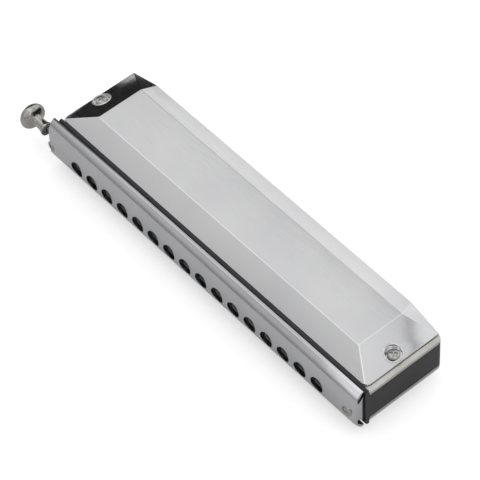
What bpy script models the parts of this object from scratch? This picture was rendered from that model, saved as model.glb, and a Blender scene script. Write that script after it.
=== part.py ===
"""Chromatic harmonica with sixteen holes, built as separate solids.

X runs along the length with the slide's knob at the negative end, the player is at negative Y and Z is up.
Every piece is modelled about the comb's middle plane and hangs from an empty at that height.
"""
import math

import bmesh
import bpy
from mathutils import Matrix

MM = 0.001

# Whole instrument
HOLES = 16
HALF_HEIGHT = 14.33 * MM
SEAT = 0.3 * MM
MOUTH_HALF_LENGTH = 89.0 * MM
MOUTH_END = 19.25 * MM
PITCH = (MOUTH_HALF_LENGTH - MOUTH_END) / ((HOLES - 1) / 2)
SLIDE_TRAVEL = PITCH / 2
MOUTH_WALL = 0.9 * MM
OVERCUT = 1.0 * MM

# Comb
COMB_LEFT = -(MOUTH_HALF_LENGTH - 1.7 * MM)
COMB_RIGHT = MOUTH_HALF_LENGTH + 0.8 * MM
COMB_REAR = 17.13 * MM
COMB_HALF = 6.45 * MM
COMB_CORNER = 2.5 * MM
RAIL_FRONT = -21.07 * MM
RAIL_BACK = -19.37 * MM
RAIL_HALF = 9.8 * MM
RAIL_ROUND = 0.8 * MM
POCKET_FLOOR = -20.4 * MM
POCKET_HALF = 8.3 * MM
POCKET_LEFT = COMB_LEFT + 0.8 * MM
POCKET_RIGHT = COMB_RIGHT - 2.3 * MM
CELL_FRONT = -18.4 * MM
CELL_WALL = 1.6 * MM
CELL_WEB = 0.6 * MM
PORT_LOW = 0.8 * MM
PORT_HIGH = 3.0 * MM
PORT_WIDTH = 4.3 * MM

# Reed plates and reeds
PLATE_THICK = 1.45 * MM
REED_LONGEST = 25.0 * MM
REED_SHORTEST = 12.0 * MM
REED_SPACING = 2.0 * MM
SLOT_FRONT = -15.0 * MM
SLOT_WIDTH = 2.2 * MM
REED_WIDTH = 1.6 * MM
REED_THICK = 0.25 * MM
REED_LIFT = 0.15 * MM
REED_FOOT = 2.4 * MM
FOOT_WIDTH = 2.1 * MM
FOOT_SINK = 0.2 * MM
VALVE_WIDTH = 2.8 * MM
VALVE_THICK = 0.15 * MM

# Covers
COVER_HALF_LENGTH = MOUTH_HALF_LENGTH - 1.5 * MM
COVER_FRONT = RAIL_BACK + SEAT
COVER_REAR = COMB_REAR
COVER_RIM = 9.0 * MM
COVER_CORNER = 3.0 * MM
TOP_HALF_LENGTH = COVER_HALF_LENGTH - 12.8 * MM
TOP_HALF_WIDTH = 10.57 * MM
RIDGE_HALF_LENGTH = TOP_HALF_LENGTH - 2.0 * MM
RIDGE_HEIGHT = 13.4 * MM
FOLD_RADIUS = 0.7 * MM
SHEET = 0.8 * MM
INNER_DROP = 0.55
BACK_OPENING_HALF = TOP_HALF_LENGTH + 1.3 * MM
BACK_OPENING_TOP = 12.0 * MM
SEAT_PAD = 9.6 * MM
SEAT_PAD_RADIUS = 3.5 * MM
SEAT_WALL = 0.6 * MM

# Mouthpiece
MOUTH_REAR = RAIL_FRONT - SEAT
MOUTH_HALF = 10.25 * MM
MOUTH_NOSE = -27.0 * MM
MOUTH_ARC_RADIUS = MOUTH_HALF + 3.75 * MM
MOUTH_ARC_CENTRE = MOUTH_NOSE + MOUTH_ARC_RADIUS
MOUTH_CORNER = 4.0 * MM
CAVITY_FLOOR = -24.4 * MM
CAVITY_FLOOR_HALF = 6.9 * MM
CAVITY_SHOULDER = -22.3 * MM
MITRE_TOP = 0.999
MITRE_CREASE = 0.52
MITRE_FLANGE = 0.85
HOLE_RADIUS = 3.35 * MM

# Slide stack, from the comb outwards
BACKING_THICK = 0.8 * MM
BACKING_HALF = 8.0 * MM
SLIDE_THICK = 1.0 * MM
SLIDE_MIDDLE = -22.3 * MM
SLIDE_HALF = 5.2 * MM
SLIDE_LEFT = -(MOUTH_HALF_LENGTH - MOUTH_WALL - SEAT)
SLIDE_RIGHT = (HOLES - 1) / 2 * PITCH + 5.25 * MM
WINDOW_WIDTH = 4.1 * MM
TAB_HALF = 2.6 * MM
TONGUE_HALF = 1.3 * MM
TONGUE_GRIP = 2.55 * MM
CAGE_THICK = 1.0 * MM
CAGE_HALF = 6.3 * MM
CAGE_FLANGE = 0.8 * MM
CAGE_HOLE_RADIUS = 3.05 * MM
STOP_THICK = 0.7 * MM
STOP_HALF = 1.8 * MM
KNOB_BASE = MOUTH_HALF_LENGTH + SLIDE_TRAVEL + SEAT
KNOB_LENGTH = 13.0 * MM
KNOB_RADIUS = 5.6 * MM

# Return spring
SPRING_WIRE = 0.18 * MM
SPRING_RADIUS = 0.9 * MM
SPRING_TURNS = 8
SPRING_POINTS_PER_TURN = 8
SPRING_WINDOW_HALF = 1.5 * MM

# Screws
COVER_SCREW_X = COVER_HALF_LENGTH - 3.6 * MM
COVER_SCREW_Y = -2.07 * MM
COVER_SCREW_END = 1.5 * MM
MOUTH_SCREW_X = MOUTH_HALF_LENGTH - 3.0 * MM
MOUTH_SHANK = 0.7 * MM
MOUTH_CLEARANCE = 1.0 * MM
MOUTH_SCREW_END = -14.0 * MM
COUNTERBORE_FLOOR = -26.0 * MM
COUNTERBORE_RADIUS = 2.5 * MM
MAIN_SHANK = 0.95 * MM
MAIN_CLEARANCE = 1.25 * MM
SMALL_SHANK = 0.7 * MM
SMALL_CLEARANCE = 1.0 * MM
REED_SCREW_END = 2.5 * MM
REED_SCREW_X = COVER_HALF_LENGTH - 9.5 * MM
REED_SCREW_FRONT_Y = -15.0 * MM
REED_SCREW_REAR_Y = 14.4 * MM
REED_SCREW_PLACES = (
    (-REED_SCREW_X, REED_SCREW_FRONT_Y),
    (REED_SCREW_X, REED_SCREW_FRONT_Y),
    (-REED_SCREW_X, REED_SCREW_REAR_Y),
    (-REED_SCREW_X / 2, REED_SCREW_REAR_Y),
    (0.0, REED_SCREW_REAR_Y),
    (REED_SCREW_X / 2, REED_SCREW_REAR_Y),
    (REED_SCREW_X, REED_SCREW_REAR_Y),
)

# Worked out from the sizes above
PLATE_INNER = COMB_HALF + SEAT
PLATE_OUTER = PLATE_INNER + PLATE_THICK
COVER_BASE = PLATE_OUTER + SEAT
SLIDE_FRONT = SLIDE_MIDDLE - SLIDE_THICK / 2
SLIDE_BACK = SLIDE_MIDDLE + SLIDE_THICK / 2
BACKING_FRONT = SLIDE_BACK + SEAT
WEB_BACK = SLIDE_FRONT - SEAT
CAGE_HALF_LENGTH = MOUTH_HALF_LENGTH - MOUTH_WALL - SEAT
STOP_LEFT = MOUTH_SCREW_X - MOUTH_CLEARANCE - STOP_THICK - SEAT
TONGUE_START = -(MOUTH_SCREW_X + SLIDE_TRAVEL + MOUTH_CLEARANCE + SEAT)
TONGUE_LEFT = -(KNOB_BASE + TONGUE_GRIP)

# Which way a box, prism or rod points: the axis it is extruded along
TURNS = {
    "X": Matrix(((0, 0, 1, 0), (1, 0, 0, 0), (0, 1, 0, 0), (0, 0, 0, 1))),
    "Y": Matrix(((0, 1, 0, 0), (0, 0, 1, 0), (1, 0, 0, 0), (0, 0, 0, 1))),
    "Z": Matrix.Identity(4),
}


def clear_scene():
    """Remove whatever the file holds."""
    for obj in list(bpy.data.objects):
        bpy.data.objects.remove(obj, do_unlink=True)


def make_collection(name):
    """Return a new collection linked to the scene."""
    collection = bpy.data.collections.new(name)
    bpy.context.scene.collection.children.link(collection)
    return collection


def make_empty(name, collection, location, parent=None):
    """Return an empty that pieces hang from."""
    empty = bpy.data.objects.new(name, None)
    empty.empty_display_size = 5 * MM
    collection.objects.link(empty)
    empty.location = location
    empty.parent = parent
    return empty


clear_scene()
PARTS = make_collection("Chromatic harmonica")
CUTTERS = make_collection("Cutters")
BODY = make_empty("harmonica_body", PARTS, (0, 0, HALF_HEIGHT))
SLIDE_AXIS = make_empty("slide_axis", PARTS, (-KNOB_BASE, SLIDE_MIDDLE, 0), BODY)


def make_material(name, colour, roughness, metallic):
    """Return a Principled material of one colour."""
    material = bpy.data.materials.new(name)
    material.use_nodes = True
    shader = material.node_tree.nodes["Principled BSDF"]
    shader.inputs["Base Color"].default_value = (*colour, 1)
    shader.inputs["Roughness"].default_value = roughness
    shader.inputs["Metallic"].default_value = metallic
    return material


CHROME = ("chrome", (0.78, 0.78, 0.79), 0.16, 1.0)
NICKEL = ("nickel", (0.60, 0.59, 0.57), 0.25, 1.0)
PLATE_BRASS = ("plate_brass", (0.72, 0.66, 0.50), 0.35, 1.0)
BLACK_PLASTIC = ("black_plastic", (0.02, 0.02, 0.022), 0.5, 0.0)
STEEL = ("spring_steel", (0.55, 0.55, 0.56), 0.3, 1.0)


def wrap_mesh(name, bm):
    """Turn a bmesh into an object that hangs from the body's empty."""
    bmesh.ops.recalc_face_normals(bm, faces=bm.faces)
    mesh = bpy.data.meshes.new(name)
    bm.to_mesh(mesh)
    bm.free()
    obj = bpy.data.objects.new(name, mesh)
    PARTS.objects.link(obj)
    obj.parent = BODY
    return obj


def boxes(name, spans):
    """Return one object that holds a box for each (x, y, z) triple of spans."""
    bm = bmesh.new()
    for span in spans:
        middle = [(low + high) / 2 for low, high in span]
        size = [abs(high - low) for low, high in span]
        place = Matrix.Translation(middle) @ Matrix.Diagonal((*size, 1))
        bmesh.ops.create_cube(bm, size=1.0, matrix=place)
    return wrap_mesh(name, bm)


def rods(name, axis, centres, radius, span, segments=16):
    """Return one object that holds a rod at each centre, along one axis over one span."""
    bm = bmesh.new()
    low, high = sorted(span)
    for u, v in centres:
        place = TURNS[axis] @ Matrix.Translation((u, v, (low + high) / 2))
        bmesh.ops.create_cone(bm, cap_ends=True, segments=segments, radius1=radius, radius2=radius,
                              depth=high - low, matrix=place)
    return wrap_mesh(name, bm)


def prism(name, axis, outline, span):
    """Return a flat outline extruded along an axis, made from a filled curve."""
    curve = bpy.data.curves.new(name, "CURVE")
    curve.dimensions = "2D"
    curve.fill_mode = "BOTH"
    curve.extrude = abs(span[1] - span[0]) / 2
    spline = curve.splines.new("POLY")
    spline.points.add(len(outline) - 1)
    for point, (u, v) in zip(spline.points, outline):
        point.co = (u, v, 0, 1)
    spline.use_cyclic_u = True
    draft = bpy.data.objects.new(name, curve)
    bm = bmesh.new()
    bm.from_mesh(bpy.data.meshes.new_from_object(draft))
    bpy.data.objects.remove(draft)
    bmesh.ops.remove_doubles(bm, verts=bm.verts, dist=0.001 * MM)
    bmesh.ops.dissolve_limit(bm, angle_limit=math.radians(0.1), verts=bm.verts, edges=bm.edges)
    shift = Matrix.Translation((0, 0, (span[0] + span[1]) / 2))
    bmesh.ops.transform(bm, matrix=TURNS[axis] @ shift, verts=bm.verts)
    return wrap_mesh(name, bm)


def hull(name, points):
    """Return the tightest convex solid around a set of points."""
    bm = bmesh.new()
    for point in points:
        bm.verts.new(point)
    made = bmesh.ops.convex_hull(bm, input=bm.verts)
    bmesh.ops.delete(bm, geom=made["geom_interior"], context="VERTS")
    bmesh.ops.dissolve_limit(bm, angle_limit=math.radians(1), verts=bm.verts, edges=bm.edges)
    return wrap_mesh(name, bm)


def turned(name, profile, axis, base, outward=1, steps=16):
    """Return a turned piece: (radius, height) points from the top down, stood on base along an axis."""
    mesh = bpy.data.meshes.new(name)
    mesh.from_pydata([(r, 0, h) for r, h in profile], [(i, i + 1) for i in range(len(profile) - 1)], [])
    obj = bpy.data.objects.new(name, mesh)
    PARTS.objects.link(obj)
    screw = obj.modifiers.new("Turn", "SCREW")
    screw.steps = steps
    screw.render_steps = steps
    screw.use_merge_vertices = True
    screw.merge_threshold = 0.00001
    screw.use_normal_calculate = True
    tilt = {"X": (0, outward * math.pi / 2, 0), "Y": (-outward * math.pi / 2, 0, 0),
            "Z": (0 if outward > 0 else math.pi, 0, 0)}
    obj.rotation_euler = tilt[axis]
    obj.location = base
    obj.parent = BODY
    return obj


def combine(target, tool, operation):
    """Add a live Boolean of tool on target and file the tool with the cutters."""
    step = target.modifiers.new(f"{operation.title()} {tool.name}", "BOOLEAN")
    step.operation = operation
    step.solver = "EXACT"
    step.object = tool
    if tool.name in PARTS.objects:
        PARTS.objects.unlink(tool)
        CUTTERS.objects.link(tool)
    tool.hide_render = True
    tool.display_type = "WIRE"
    return target


def cut(target, *tools):
    """Take each tool away from the target."""
    for tool in tools:
        combine(target, tool, "DIFFERENCE")
    return target


def add(target, *tools):
    """Grow the target by each tool."""
    for tool in tools:
        combine(target, tool, "UNION")
    return target


def dress(obj, finish, smooth=False):
    """Give a piece its own material and, if round, smooth shading."""
    name, colour, roughness, metallic = finish
    obj.data.materials.clear()
    obj.data.materials.append(make_material(f"{obj.name}_{name}", colour, roughness, metallic))
    if smooth:
        obj.data.shade_smooth()
    return obj


def hole_x(index):
    """Return where a mouth hole stands along the length; index 0 is beside the knob."""
    return (index - (HOLES - 1) / 2) * PITCH


def reed_length(index):
    """Return the reed slot's length: low notes, beside the knob, have the longest reeds."""
    return REED_LONGEST + (REED_SHORTEST - REED_LONGEST) * index / (HOLES - 1)


def arc(centre, radius, start, end, count):
    """Return points round an arc, angles in degrees."""
    turns = [math.radians(start + (end - start) * i / count) for i in range(count + 1)]
    return [(centre[0] + radius * math.cos(t), centre[1] + radius * math.sin(t)) for t in turns]


def plan_with_round_rear(left, right, front, rear, radius):
    """Return a plan outline whose two rear corners are round."""
    outline = [(left, front), (right, front)]
    outline += arc((right - radius, rear - radius), radius, 0, 90, 4)
    outline += arc((left + radius, rear - radius), radius, 90, 180, 4)
    return outline


def windows(name, row_shift, width, depth):
    """Return the cutter for two rows of windows, the lower row shifted along X."""
    spans = []
    for index in range(HOLES):
        for side, shift in ((1, 0.0), (-1, row_shift)):
            x = hole_x(index) + shift
            spans.append(((x - width / 2, x + width / 2), depth, (side * PORT_LOW, side * PORT_HIGH)))
    return boxes(name, spans)


def make_comb():
    """Return the comb: a grooved front rail and thirty-two open cells."""
    plan = plan_with_round_rear(COMB_LEFT, COMB_RIGHT, RAIL_BACK - SEAT, COMB_REAR, COMB_CORNER)
    comb = prism("comb", "Z", plan, (-COMB_HALF, COMB_HALF))
    front, back, high, r = RAIL_FRONT, RAIL_BACK, RAIL_HALF, RAIL_ROUND
    rail_outline = [(back, -high), (back, high), (front + r, high), (front, high - r),
                    (front, r - high), (front + r, -high)]
    rail = prism("comb_rail", "X", rail_outline, (COMB_LEFT, COMB_RIGHT))
    pocket = boxes("comb_pocket", [((POCKET_LEFT, POCKET_RIGHT), (RAIL_FRONT - OVERCUT, POCKET_FLOOR),
                                    (-POCKET_HALF, POCKET_HALF))])
    half = (PITCH - CELL_WALL) / 2
    cells = []
    for index in range(HOLES):
        x = hole_x(index)
        rear = SLOT_FRONT + reed_length(index) + REED_FOOT + OVERCUT
        for side in (1, -1):
            cells.append(((x - half, x + half), (CELL_FRONT, rear),
                          (side * CELL_WEB, side * (COMB_HALF + OVERCUT))))
    ports = windows("comb_ports", 0.0, PORT_WIDTH, (POCKET_FLOOR - OVERCUT / 2, CELL_FRONT + OVERCUT / 2))
    holes = [rods("comb_mouth_screw_holes", "Y", [(0, -MOUTH_SCREW_X), (0, MOUTH_SCREW_X)],
                  MOUTH_CLEARANCE, (RAIL_FRONT, MOUTH_SCREW_END + OVERCUT), 12)]
    for side, word in ((1, "upper"), (-1, "lower")):
        top = side * (COMB_HALF + OVERCUT)
        holes.append(rods(f"comb_{word}_cover_screw_holes", "Z", cover_screw_places(), MAIN_CLEARANCE,
                          (side * (COVER_SCREW_END - OVERCUT), top), 12))
        holes.append(rods(f"comb_{word}_reed_screw_holes", "Z", REED_SCREW_PLACES, SMALL_CLEARANCE,
                          (side * (REED_SCREW_END - OVERCUT), top), 8))
    add(comb, rail)
    cut(comb, pocket, boxes("comb_cells", cells), ports, *holes)
    return dress(comb, BLACK_PLASTIC)


def cover_screw_places():
    """Return where the cover screws stand, left then right."""
    return [(-COVER_SCREW_X, COVER_SCREW_Y), (COVER_SCREW_X, COVER_SCREW_Y)]


def make_reed_plate(side, word):
    """Return one reed plate with its slots, reeds, feet and outer valves."""
    name = f"{word}_reed_plate"
    outer, inner = side * PLATE_OUTER, side * PLATE_INNER
    plan = plan_with_round_rear(COMB_LEFT, COMB_RIGHT, COVER_FRONT, COMB_REAR, COMB_CORNER)
    plate = prism(name, "Z", plan, tuple(sorted((inner, outer))))
    slots, feet, tongues = [], [], []
    for index in range(HOLES):
        length = reed_length(index)
        rear = SLOT_FRONT + length
        for shift, face, way in ((-REED_SPACING, outer, side), (REED_SPACING, inner, -side)):
            x = hole_x(index) + shift
            across = (x - SLOT_WIDTH / 2, x + SLOT_WIDTH / 2)
            slots.append((across, (SLOT_FRONT, rear), (inner - side * OVERCUT, outer + side * OVERCUT)))
            blade = (x - REED_WIDTH / 2, x + REED_WIDTH / 2)
            foot = (x - FOOT_WIDTH / 2, x + FOOT_WIDTH / 2)
            low, high = REED_LIFT, REED_LIFT + REED_THICK
            lift = (face + way * low, face + way * high)
            foot_lift = (face - way * FOOT_SINK, face + way * (high + REED_LIFT))
            if face == outer:
                feet.append((foot, (SLOT_FRONT - FOOT_SINK - REED_FOOT, SLOT_FRONT - FOOT_SINK), foot_lift))
                tongues.append((blade, (SLOT_FRONT - REED_FOOT, rear - REED_LIFT), lift))
            else:
                feet.append((foot, (rear + FOOT_SINK, rear + FOOT_SINK + REED_FOOT), foot_lift))
                tongues.append((blade, (SLOT_FRONT + REED_LIFT, rear + REED_FOOT), lift))
                flap = (x - VALVE_WIDTH / 2, x + VALVE_WIDTH / 2)
                top = (outer + side * low, outer + side * (low + VALVE_THICK))
                glue = (outer - side * FOOT_SINK, outer + side * high)
                feet.append((foot, (rear + FOOT_SINK, rear + FOOT_SINK + REED_FOOT), glue))
                tongues.append((flap, (SLOT_FRONT - FOOT_SINK, rear + REED_FOOT / 2), top))
    add(plate, boxes(f"{name}_feet", feet))
    cut(plate, boxes(f"{name}_slots", slots))
    add(plate, boxes(f"{name}_tongues", tongues))
    through = (inner - side * OVERCUT, outer + side * OVERCUT)
    cut(plate, rods(f"{name}_cover_screw_holes", "Z", cover_screw_places(), MAIN_CLEARANCE, through, 12),
        rods(f"{name}_screw_holes", "Z", REED_SCREW_PLACES, SMALL_CLEARANCE, through, 8))
    return dress(plate, PLATE_BRASS)


def cover_form(name, side, inset, base, rear):
    """Return a cover's solid form, drawn in by inset, from its base up to the top panel."""
    half, front, radius = COVER_HALF_LENGTH - inset, COVER_FRONT + inset, COVER_CORNER
    corner = arc((half - radius, front + radius), radius, -90, 0, 4) + [(half, rear)]
    rim = [(x, y) for x, y in corner] + [(-x, y) for x, y in corner]
    drop = inset * INNER_DROP
    points = [(x, y, side * z) for x, y in rim for z in (base, COVER_RIM - drop)]
    top = HALF_HEIGHT - inset
    for way in (-1, 1):
        x = way * (TOP_HALF_LENGTH - inset / 2)
        points += [(x, inset / 2 - TOP_HALF_WIDTH, side * top), (x, TOP_HALF_WIDTH - inset / 4, side * top)]
        points.append((way * (RIDGE_HALF_LENGTH - inset / 2), rear, side * (RIDGE_HEIGHT - inset)))
    form = hull(name, points)
    soften = form.modifiers.new("Folds", "BEVEL")
    soften.width = FOLD_RADIUS
    soften.segments = 1
    soften.limit_method = "ANGLE"
    soften.angle_limit = math.radians(16)
    return form


def make_cover(side, word):
    """Return one pressed cover: a hipped shell, open at the back, with two screw seats."""
    name = f"{word}_cover"
    cover = cover_form(name, side, 0.0, COVER_BASE, COVER_REAR)
    hollow = cover_form(f"{name}_hollow", side, SHEET, COVER_BASE - OVERCUT, COVER_REAR - SHEET)
    posts = rods(f"{name}_posts", "Z", cover_screw_places(), SEAT_PAD_RADIUS + SEAT_WALL,
                 (side * (COVER_BASE - 2 * OVERCUT), side * HALF_HEIGHT), 20)
    cut(hollow, posts)
    half, top = BACK_OPENING_HALF, BACK_OPENING_TOP
    back = boxes(f"{name}_back_opening", [((-half, half), (COVER_REAR - 2 * SHEET, COVER_REAR + OVERCUT),
                                           (side * (COVER_BASE - OVERCUT), side * top))])
    pads = rods(f"{name}_pads", "Z", cover_screw_places(), SEAT_PAD_RADIUS,
                (side * SEAT_PAD, side * (HALF_HEIGHT + OVERCUT)), 20)
    bores = rods(f"{name}_bores", "Z", cover_screw_places(), MAIN_CLEARANCE,
                 (side * (COVER_BASE - OVERCUT), side * (SEAT_PAD + OVERCUT)), 12)
    cut(cover, hollow, back, pads, bores)
    return dress(cover, CHROME)


def mouthpiece_outline():
    """Return the mouthpiece's section as (y, z): flat flanges joined by a round nose."""
    reach = math.degrees(math.asin(MOUTH_HALF / MOUTH_ARC_RADIUS))
    nose = arc((MOUTH_ARC_CENTRE, 0.0), MOUTH_ARC_RADIUS, 180 - reach, 180 + reach, 16)
    return [(MOUTH_REAR, MOUTH_HALF)] + nose + [(MOUTH_REAR, -MOUTH_HALF)]


def make_mouthpiece():
    """Return the mouthpiece: a channel with a thick nose, sixteen holes and folded ends."""
    half, nose = MOUTH_HALF_LENGTH, MOUTH_ARC_CENTRE - MOUTH_ARC_RADIUS
    piece = prism("mouthpiece", "X", mouthpiece_outline(), (-half, half))
    r = MOUTH_CORNER
    plan = [(half, MOUTH_REAR + OVERCUT), (-half, MOUTH_REAR + OVERCUT)]
    plan += arc((r - half, nose + r), r, 180, 270, 5) + arc((half - r, nose + r), r, 270, 360, 5)
    ends = prism("mouthpiece_plan", "Z", plan, (-MOUTH_HALF - OVERCUT, MOUTH_HALF + OVERCUT))
    combine(piece, ends, "INTERSECT")
    inner = MOUTH_HALF - MOUTH_WALL
    back = MOUTH_REAR + OVERCUT
    cavity = [(back, inner), (CAVITY_SHOULDER, inner), (CAVITY_FLOOR, CAVITY_FLOOR_HALF)]
    cavity += [(y, -z) for y, z in reversed(cavity)]
    inside = half - MOUTH_WALL
    cut(piece, prism("mouthpiece_cavity", "X", cavity, (-inside, inside)))
    for way, word in ((-1, "left"), (1, "right")):
        for side, level in ((1, "upper"), (-1, "lower")):
            mitre = [(back, MITRE_TOP * inner), (CAVITY_SHOULDER, MITRE_TOP * inner),
                     (CAVITY_FLOOR + OVERCUT / 4, CAVITY_FLOOR_HALF), (CAVITY_FLOOR + OVERCUT / 4, MITRE_CREASE * inner),
                     (back, MITRE_FLANGE * inner)]
            cut(piece, prism(f"mouthpiece_{word}_{level}_mitre", "X", [(y, side * z) for y, z in mitre],
                             tuple(sorted((way * (inside - OVERCUT), way * (half + OVERCUT))))))
    centres = [(0.0, hole_x(index)) for index in range(HOLES)]
    screws = [(0.0, -MOUTH_SCREW_X), (0.0, MOUTH_SCREW_X)]
    through = (nose - OVERCUT, CAVITY_FLOOR + OVERCUT)
    slot = boxes("mouthpiece_tab_slot", [((-half - OVERCUT, OVERCUT - half), (WEB_BACK, back),
                                          (-TAB_HALF - SEAT, TAB_HALF + SEAT))])
    cut(piece, rods("mouthpiece_holes", "Y", centres, HOLE_RADIUS, through, 20), slot,
        rods("mouthpiece_counterbores", "Y", screws, COUNTERBORE_RADIUS,
             (nose - OVERCUT, COUNTERBORE_FLOOR), 16),
        rods("mouthpiece_screw_holes", "Y", screws, MOUTH_CLEARANCE, through, 12))
    return dress(piece, CHROME)


def make_backing_plate():
    """Return the flat plate that the slide runs on, with two level rows of windows."""
    depth = (BACKING_FRONT, BACKING_FRONT + BACKING_THICK)
    through = (depth[0] - OVERCUT, depth[1] + OVERCUT)
    plate = boxes("backing_plate", [((POCKET_LEFT + SEAT, POCKET_RIGHT - SEAT), depth,
                                     (-BACKING_HALF, BACKING_HALF))])
    well = boxes("backing_spring_window", [((SLIDE_RIGHT, STOP_LEFT + STOP_THICK), through,
                                            (-SPRING_WINDOW_HALF, SPRING_WINDOW_HALF))])
    notch = boxes("backing_notch", [((POCKET_LEFT - OVERCUT, -MOUTH_SCREW_X + MOUTH_CLEARANCE), through,
                                     (-MOUTH_CLEARANCE, MOUTH_CLEARANCE))])
    cut(plate, windows("backing_windows", 0.0, PORT_WIDTH, through), well, notch,
        rods("backing_screw_hole", "Y", [(0, MOUTH_SCREW_X)], MOUTH_CLEARANCE, through, 12))
    return dress(plate, STEEL)


def make_slide():
    """Return the slide: staggered windows, a tab round the screw and a tongue for the knob."""
    depth = (SLIDE_FRONT, SLIDE_BACK)
    through = (SLIDE_FRONT - OVERCUT, SLIDE_BACK + OVERCUT)
    slide = boxes("slide", [((SLIDE_LEFT, SLIDE_RIGHT), depth, (-SLIDE_HALF, SLIDE_HALF))])
    tab = boxes("slide_tab", [((TONGUE_START, SLIDE_LEFT + OVERCUT), depth, (-TAB_HALF, TAB_HALF))])
    tongue = boxes("slide_tongue", [((TONGUE_LEFT, TONGUE_START + OVERCUT / 4), depth,
                                     (-TONGUE_HALF, TONGUE_HALF))])
    half = MOUTH_CLEARANCE
    slot = boxes("slide_screw_slot", [((-MOUTH_SCREW_X - SLIDE_TRAVEL - half, half - MOUTH_SCREW_X),
                                       through, (-half, half))])
    add(slide, tab)
    cut(slide, windows("slide_windows", -SLIDE_TRAVEL, WINDOW_WIDTH, through), slot)
    add(slide, tongue)
    slide.parent = SLIDE_AXIS
    slide.matrix_parent_inverse = Matrix.Translation(SLIDE_AXIS.location).inverted()
    return dress(slide, NICKEL)


def make_cage():
    """Return the channel that guides the slide, with its spring stop."""
    front, back, flange = WEB_BACK - CAGE_THICK, WEB_BACK, BACKING_FRONT - SEAT
    inner = CAGE_HALF - CAGE_FLANGE
    outline = [(front, -CAGE_HALF), (flange, -CAGE_HALF), (flange, -inner), (back, -inner),
               (back, inner), (flange, inner), (flange, CAGE_HALF), (front, CAGE_HALF)]
    cage = prism("slide_cage", "X", outline, (-CAGE_HALF_LENGTH, CAGE_HALF_LENGTH))
    through = (front - OVERCUT, back + OVERCUT / 2)
    well = boxes("cage_spring_window", [((SLIDE_RIGHT, STOP_LEFT), through,
                                         (-SPRING_WINDOW_HALF, SPRING_WINDOW_HALF))])
    stop = boxes("cage_stop", [((STOP_LEFT, STOP_LEFT + STOP_THICK), (front + OVERCUT / 2, flange),
                                (-STOP_HALF, STOP_HALF))])
    centres = [(0.0, hole_x(index)) for index in range(HOLES)]
    cut(cage, rods("cage_holes", "Y", centres, CAGE_HOLE_RADIUS, through, 16), well,
        rods("cage_screw_holes", "Y", [(0, -MOUTH_SCREW_X), (0, MOUTH_SCREW_X)], MOUTH_CLEARANCE, through, 12))
    add(cage, stop)
    return dress(cage, NICKEL)


def make_knob():
    """Return the turned knob, socketed for the slide's tongue."""
    profile = [(0.0, 1.0), (0.24, 0.993), (0.48, 0.968), (0.70, 0.925), (0.88, 0.86), (0.98, 0.78), (1.0, 0.71),
               (0.95, 0.645), (0.80, 0.585), (0.58, 0.53), (0.43, 0.47), (0.39, 0.38), (0.40, 0.27),
               (0.45, 0.14), (0.52, 0.05), (0.52, 0.0), (0.0, 0.0)]
    knob = turned("slide_knob", [(r * KNOB_RADIUS, h * KNOB_LENGTH) for r, h in profile], "X",
                  (-KNOB_BASE, SLIDE_MIDDLE, 0), -1, 24)
    socket = boxes("knob_socket", [((TONGUE_LEFT - SEAT, OVERCUT - KNOB_BASE),
                                    (SLIDE_FRONT - SEAT, SLIDE_BACK + SEAT),
                                    (-TONGUE_HALF - SEAT, TONGUE_HALF + SEAT))])
    cut(knob, socket)
    knob.parent = SLIDE_AXIS
    knob.location = (0, 0, 0)
    return dress(knob, NICKEL, smooth=True)


def make_spring():
    """Return the coil spring between the slide's end and the cage's stop, as an unbroken tube."""
    start, end = SLIDE_RIGHT + SEAT + SPRING_WIRE, STOP_LEFT - SEAT - SPRING_WIRE
    count = SPRING_TURNS * SPRING_POINTS_PER_TURN
    curve = bpy.data.curves.new("slide_spring", "CURVE")
    curve.dimensions = "3D"
    curve.bevel_depth = SPRING_WIRE
    curve.bevel_resolution = 1
    curve.use_fill_caps = True
    spline = curve.splines.new("POLY")
    spline.points.add(count)
    for index, point in enumerate(spline.points):
        turn = 2 * math.pi * index / SPRING_POINTS_PER_TURN
        x = start + (end - start) * index / count
        point.co = (x, SLIDE_MIDDLE + SPRING_RADIUS * math.cos(turn), SPRING_RADIUS * math.sin(turn), 1)
    print("slide_spring gap between turns, mm:",
          round(((end - start) / SPRING_TURNS - 2 * SPRING_WIRE) / MM, 3))
    draft = bpy.data.objects.new("slide_spring_path", curve)
    bm = bmesh.new()
    bm.from_mesh(bpy.data.meshes.new_from_object(draft))
    bpy.data.objects.remove(draft)
    bmesh.ops.remove_doubles(bm, verts=bm.verts, dist=0.001 * MM)
    return dress(wrap_mesh("slide_spring", bm), STEEL, smooth=True)


def screw_profile(head, rise, shank, length):
    """Return a screw's profile from the crown of its head down to its blunt tip."""
    return [(0.0, rise), (head * 0.55, rise * 0.93), (head * 0.9, rise * 0.5), (head, rise * 0.12),
            (head, 0.0), (shank, 0.0), (shank, -length + shank), (shank * 0.3, -length), (0.0, -length)]


def driver_recess(name, middle, axis, reach, depth, width, crossed):
    """Return the cutter for a slotted or crossed driver recess."""
    across = {"Z": [(reach, width, depth), (width, reach, depth)],
              "Y": [(reach, depth, width), (width, depth, reach)]}[axis]
    spans = []
    for size in across[: 2 if crossed else 1]:
        spans.append(tuple((m - s, m + s) for m, s in zip(middle, size)))
    return [boxes(f"{name}_recess_{i}", [span]) for i, span in enumerate(spans)]


def make_screw(name, axis, outward, seat, head, rise, shank, length, crossed, steps=12):
    """Return a screw whose head stands one clearance off its seat."""
    direction = {"Y": (0, outward, 0), "Z": (0, 0, outward)}[axis]
    base = tuple(s + d * SEAT for s, d in zip(seat, direction))
    screw = turned(name, screw_profile(head, rise, shank, length), axis, base, outward, steps)
    crown = tuple(b + d * rise for b, d in zip(base, direction))
    cut(screw, *driver_recess(name, crown, axis, head * 0.62, rise * 0.45, head * 0.12, crossed))
    return dress(screw, NICKEL, smooth=True)


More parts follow.
